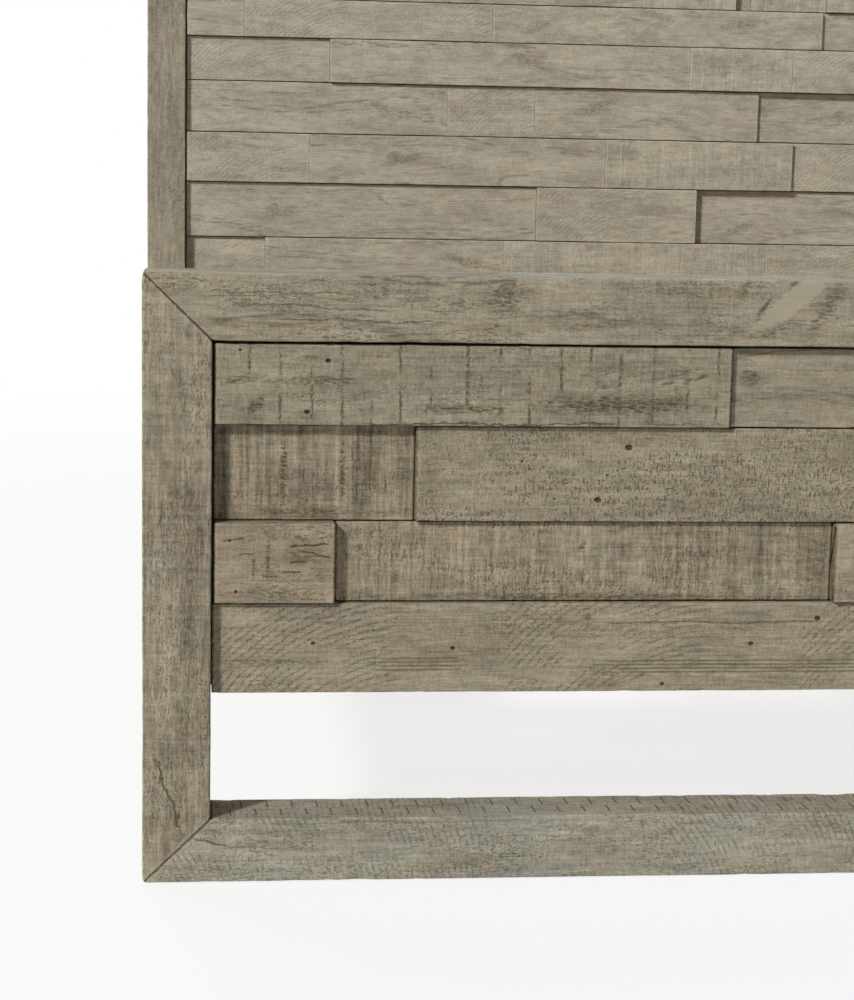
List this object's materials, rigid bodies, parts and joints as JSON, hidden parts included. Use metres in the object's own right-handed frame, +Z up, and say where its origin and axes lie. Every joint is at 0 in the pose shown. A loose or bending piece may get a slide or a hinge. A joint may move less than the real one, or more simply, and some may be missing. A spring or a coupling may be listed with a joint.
{
  "type": "bed frame",
  "caption": "Panel bed frame in reclaimed pine: mitred headboard and footboard frames filled with stepped planks, hook-on side rails, slats and an adjustable centre support.",
  "frame": {"origin": "on the floor, at the middle of the whole bed's footprint", "axes": "+Z up, +Y from the footboard to the headboard along the bed, +X to the right when seen from the foot of the bed"},
  "size_m": [1.7, 2.202, 1.4],
  "materials": {
    "frame_wood": "weathered grey-beige reclaimed pine, sawn and brushed, matte",
    "plank_wood": "weathered grey-beige reclaimed pine offcuts, saw marks and nail holes, matte",
    "backing_plywood": "plain plywood sheet, matte",
    "support_pine": "planed unfinished pine",
    "joint_steel": "zinc-plated pressed steel",
    "foot_steel": "zinc-plated steel, satin"
  },
  "bodies": {
    "bed": {"center_beam": "support_pine", "center_leg_foot": "support_pine", "center_leg_head": "support_pine", "footboard_backing_panel": "backing_plywood", "footboard_bottom_rail": "frame_wood", "footboard_plank_row1_1": "plank_wood", "footboard_plank_row1_2": "plank_wood", "footboard_plank_row1_3": "plank_wood", "footboard_plank_row2_1": "plank_wood", "footboard_plank_row2_2": "plank_wood", "footboard_plank_row2_3": "plank_wood", "footboard_plank_row3_1": "plank_wood", "footboard_plank_row3_2": "plank_wood", "footboard_plank_row3_3": "plank_wood", "footboard_plank_row3_4": "plank_wood", "footboard_plank_row4_1": "plank_wood", "footboard_stile_left": "frame_wood", "footboard_stile_right": "frame_wood", "footboard_top_rail": "frame_wood", "headboard_backing_panel": "backing_plywood", "headboard_bottom_rail": "frame_wood", "headboard_plank_course_01": "plank_wood", "headboard_plank_course_02": "plank_wood", "headboard_plank_course_03": "plank_wood", "headboard_plank_course_04": "plank_wood", "headboard_plank_course_05": "plank_wood", "headboard_plank_course_06": "plank_wood", "headboard_plank_course_07": "plank_wood", "headboard_plank_course_08": "plank_wood", "headboard_plank_course_09": "plank_wood", "headboard_plank_course_10": "plank_wood", "headboard_plank_course_11": "plank_wood", "headboard_plank_course_12": "plank_wood", "headboard_stile_left": "frame_wood", "headboard_stile_right": "frame_wood", "headboard_top_rail": "frame_wood", "hook_plate_foot_left": "joint_steel", "hook_plate_foot_right": "joint_steel", "hook_plate_head_left": "joint_steel", "hook_plate_head_right": "joint_steel", "side_rail_left": "frame_wood", "side_rail_right": "frame_wood", "slat_01": "support_pine", "slat_02": "support_pine", "slat_03": "support_pine", "slat_04": "support_pine", "slat_05": "support_pine", "slat_06": "support_pine", "slat_07": "support_pine", "slat_08": "support_pine", "slat_09": "support_pine", "slat_10": "support_pine", "slat_cleat_left": "support_pine", "slat_cleat_right": "support_pine", "slot_plate_foot_left": "joint_steel", "slot_plate_foot_right": "joint_steel", "slot_plate_head_left": "joint_steel", "slot_plate_head_right": "joint_steel"},
    "leveler_foot_end": {"leveling_foot_foot": "foot_steel"},
    "leveler_head_end": {"leveling_foot_head": "foot_steel"}
  },
  "joints": [
    {"name": "foot_end_leveler", "type": "slide", "parent": "bed", "child": "leveler_foot_end", "axis": [0, 0, -1], "range_m": [-0.01, 0.015]},
    {"name": "head_end_leveler", "type": "slide", "parent": "bed", "child": "leveler_head_end", "axis": [0, 0, -1], "range_m": [-0.01, 0.015]}
  ]
}
